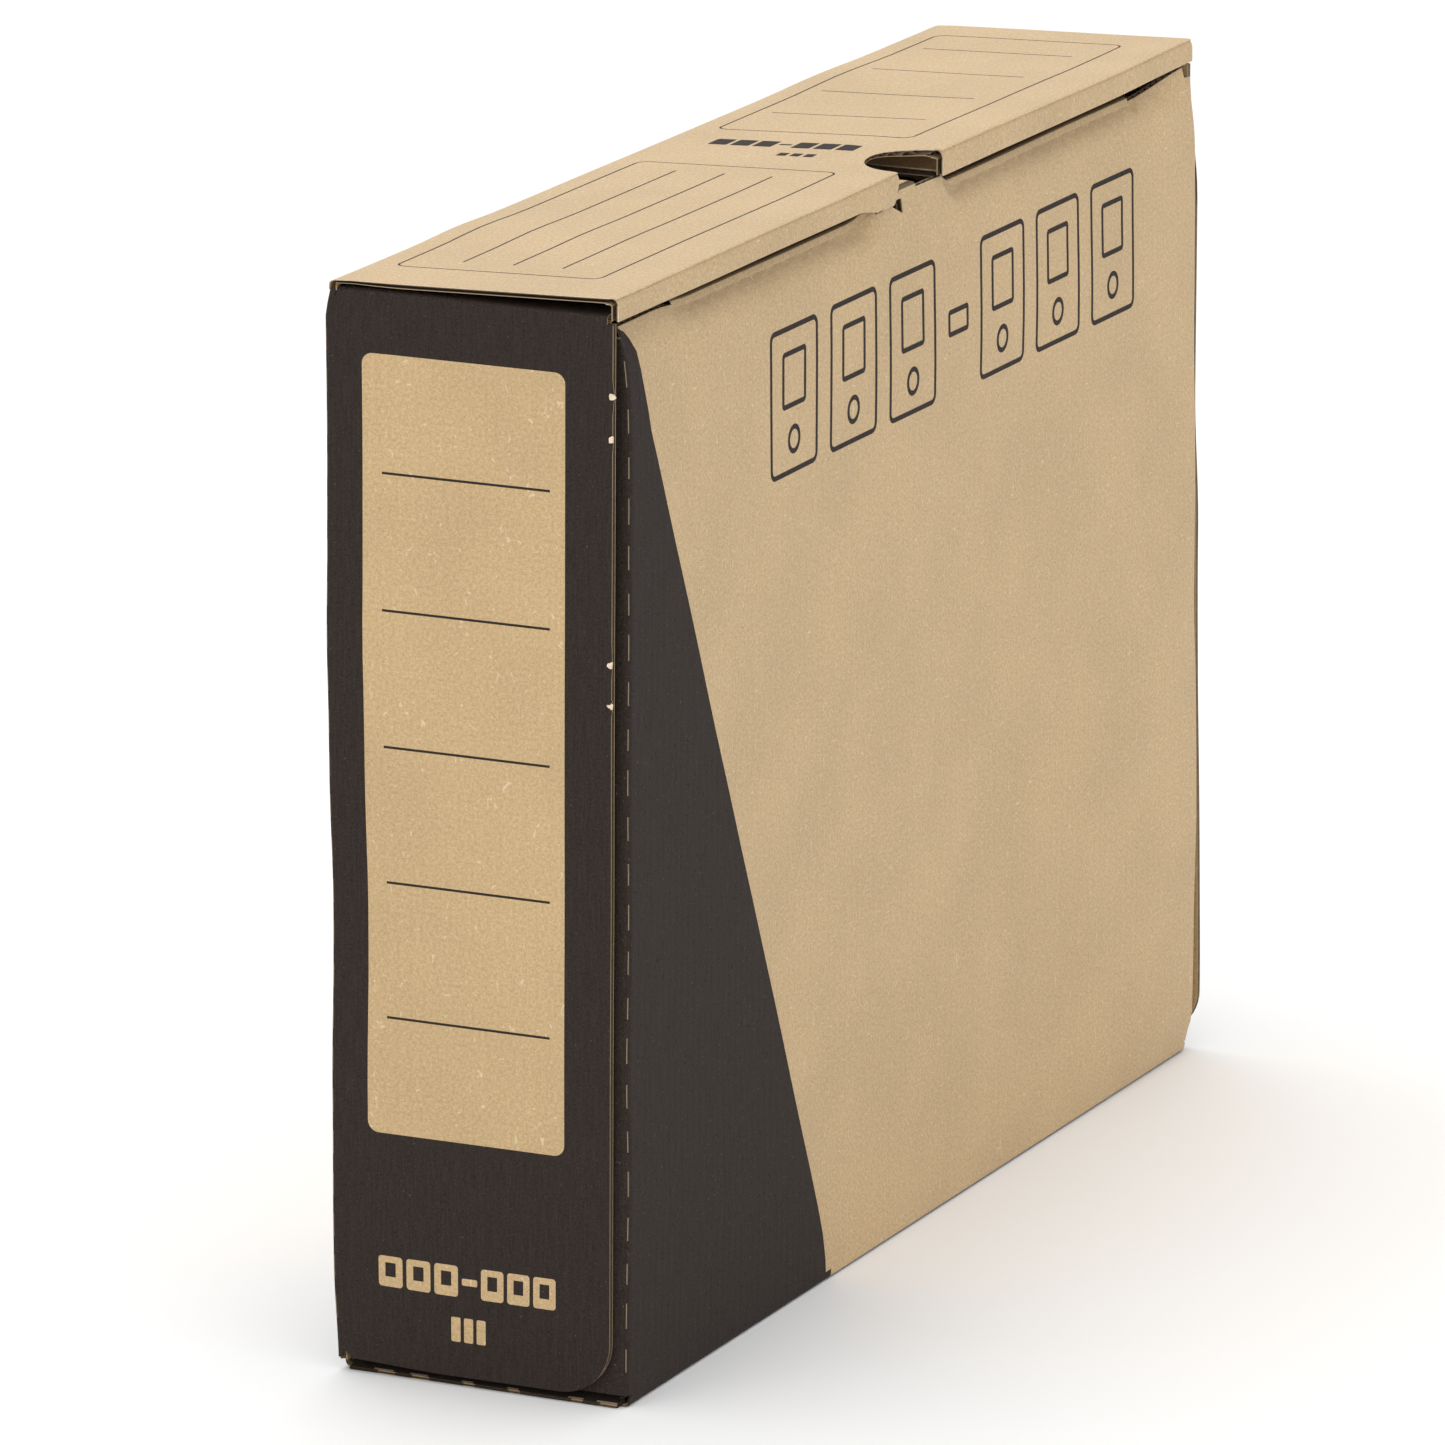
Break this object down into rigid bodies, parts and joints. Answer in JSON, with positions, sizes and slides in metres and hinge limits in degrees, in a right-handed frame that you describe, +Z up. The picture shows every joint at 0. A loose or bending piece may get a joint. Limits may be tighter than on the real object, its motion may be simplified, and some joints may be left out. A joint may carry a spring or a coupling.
{
  "type": "archival box",
  "caption": "Upright corrugated-board archival box with a hinged lid, finger notch, folding end flaps and a spine label panel; each panel is built from its three papers.",
  "frame": {"origin": "on the floor, under the middle of the closed box", "axes": "+X across the spine towards the side panel that carries the lip, +Y from the spine to the rear, +Z up"},
  "size_m": [0.075, 0.34, 0.265],
  "materials": {
    "plain_liner": "matte kraft liner with fibre flecks",
    "printed_liner": "matte dark brown-black flexo print on kraft",
    "fluting_paper": "matte recycled fluting",
    "crease": "matte pressed kraft"
  },
  "bodies": {
    "carton": {"left_panel_outer_liner": "plain_liner", "left_panel_fluting": "fluting_paper", "left_panel_inner_liner": "plain_liner", "bottom_panel_outer_liner": "printed_liner", "bottom_panel_fluting": "fluting_paper", "bottom_panel_inner_liner": "plain_liner", "side_panel_outer_liner": "plain_liner", "side_panel_fluting": "fluting_paper", "side_panel_inner_liner": "plain_liner", "bottom_corner_folds": "crease", "lid_crease": "crease", "top_flap_crease": "crease", "spine_outer_flap_crease": "crease", "spine_inner_flap_crease": "crease", "spine_bottom_flap_crease": "crease", "rear_outer_flap_crease": "crease", "rear_inner_flap_crease": "crease", "rear_bottom_flap_crease": "crease"},
    "lid": {"lid_outer_liner": "plain_liner", "lid_fluting": "fluting_paper", "lid_inner_liner": "plain_liner", "lip_crease": "crease"},
    "near_lip": {"near_lip_outer_liner": "plain_liner", "near_lip_fluting": "fluting_paper", "near_lip_inner_liner": "plain_liner"},
    "far_lip": {"far_lip_outer_liner": "plain_liner", "far_lip_fluting": "fluting_paper", "far_lip_inner_liner": "plain_liner"},
    "near_top_flap": {"near_top_flap_outer_liner": "plain_liner", "near_top_flap_fluting": "fluting_paper", "near_top_flap_inner_liner": "plain_liner"},
    "far_top_flap": {"far_top_flap_outer_liner": "plain_liner", "far_top_flap_fluting": "fluting_paper", "far_top_flap_inner_liner": "plain_liner"},
    "spine_outer_flap": {"spine_outer_flap_outer_liner": "printed_liner", "spine_outer_flap_fluting": "fluting_paper", "spine_outer_flap_inner_liner": "plain_liner", "spine_tuck_flap_crease": "crease"},
    "spine_tuck_flap": {"spine_tuck_flap_outer_liner": "printed_liner", "spine_tuck_flap_fluting": "fluting_paper", "spine_tuck_flap_inner_liner": "plain_liner"},
    "spine_inner_flap": {"spine_inner_flap_outer_liner": "printed_liner", "spine_inner_flap_fluting": "fluting_paper", "spine_inner_flap_inner_liner": "plain_liner"},
    "spine_bottom_flap": {"spine_bottom_flap_outer_liner": "printed_liner", "spine_bottom_flap_fluting": "fluting_paper", "spine_bottom_flap_inner_liner": "plain_liner"},
    "rear_outer_flap": {"rear_outer_flap_outer_liner": "printed_liner", "rear_outer_flap_fluting": "fluting_paper", "rear_outer_flap_inner_liner": "plain_liner", "rear_tuck_flap_crease": "crease"},
    "rear_tuck_flap": {"rear_tuck_flap_outer_liner": "printed_liner", "rear_tuck_flap_fluting": "fluting_paper", "rear_tuck_flap_inner_liner": "plain_liner"},
    "rear_inner_flap": {"rear_inner_flap_outer_liner": "printed_liner", "rear_inner_flap_fluting": "fluting_paper", "rear_inner_flap_inner_liner": "plain_liner"},
    "rear_bottom_flap": {"rear_bottom_flap_outer_liner": "printed_liner", "rear_bottom_flap_fluting": "fluting_paper", "rear_bottom_flap_inner_liner": "plain_liner"}
  },
  "joints": [
    {"name": "lid_hinge", "type": "hinge", "parent": "carton", "child": "lid", "pos_m": [-0.0366, 0, 0.2641], "axis": [0, -1, 0], "range_deg": [0, 175]},
    {"name": "near_lip_fold", "type": "hinge", "parent": "lid", "child": "near_lip", "pos_m": [0.035, -0.092, 0.2632], "axis": [0, -1, 0], "range_deg": [0, 88]},
    {"name": "far_lip_fold", "type": "hinge", "parent": "lid", "child": "far_lip", "pos_m": [0.035, 0.092, 0.2632], "axis": [0, -1, 0], "range_deg": [0, 88]},
    {"name": "near_top_flap_fold", "type": "hinge", "parent": "carton", "child": "near_top_flap", "pos_m": [0.03286, -0.067, 0.2592], "axis": [0, 1, 0], "range_deg": [0, 88]},
    {"name": "far_top_flap_fold", "type": "hinge", "parent": "carton", "child": "far_top_flap", "pos_m": [0.03286, 0.074, 0.2592], "axis": [0, 1, 0], "range_deg": [0, 88]},
    {"name": "spine_outer_flap_fold", "type": "hinge", "parent": "carton", "child": "spine_outer_flap", "pos_m": [-0.0366, -0.1691, 0.132], "axis": [0, 0, -1], "range_deg": [0, 150]},
    {"name": "spine_tuck_flap_fold", "type": "hinge", "parent": "spine_outer_flap", "child": "spine_tuck_flap", "pos_m": [-0.001, -0.1682, 0.2608], "axis": [-1, 0, 0], "range_deg": [0, 50]},
    {"name": "spine_inner_flap_fold", "type": "hinge", "parent": "carton", "child": "spine_inner_flap", "pos_m": [0.0357, -0.165, 0.127], "axis": [0, 0, 1], "range_deg": [0, 88]},
    {"name": "spine_bottom_flap_fold", "type": "hinge", "parent": "carton", "child": "spine_bottom_flap", "pos_m": [0, -0.1626, 0.0018], "axis": [-1, 0, 0], "range_deg": [0, 85]},
    {"name": "rear_outer_flap_fold", "type": "hinge", "parent": "carton", "child": "rear_outer_flap", "pos_m": [-0.0366, 0.1691, 0.132], "axis": [0, 0, 1], "range_deg": [0, 150]},
    {"name": "rear_tuck_flap_fold", "type": "hinge", "parent": "rear_outer_flap", "child": "rear_tuck_flap", "pos_m": [-0.001, 0.1682, 0.2608], "axis": [1, 0, 0], "range_deg": [0, 50]},
    {"name": "rear_inner_flap_fold", "type": "hinge", "parent": "carton", "child": "rear_inner_flap", "pos_m": [0.0357, 0.165, 0.127], "axis": [0, 0, -1], "range_deg": [0, 88]},
    {"name": "rear_bottom_flap_fold", "type": "hinge", "parent": "carton", "child": "rear_bottom_flap", "pos_m": [0, 0.1626, 0.0018], "axis": [1, 0, 0], "range_deg": [0, 85]}
  ],
  "couplings": [
    {"joint": "near_top_flap_fold", "follows": "lid_hinge", "ratio": 0.5},
    {"joint": "far_top_flap_fold", "follows": "lid_hinge", "ratio": 0.5},
    {"joint": "spine_inner_flap_fold", "follows": "spine_outer_flap_fold", "ratio": 0.58},
    {"joint": "rear_inner_flap_fold", "follows": "rear_outer_flap_fold", "ratio": 0.58}
  ]
}
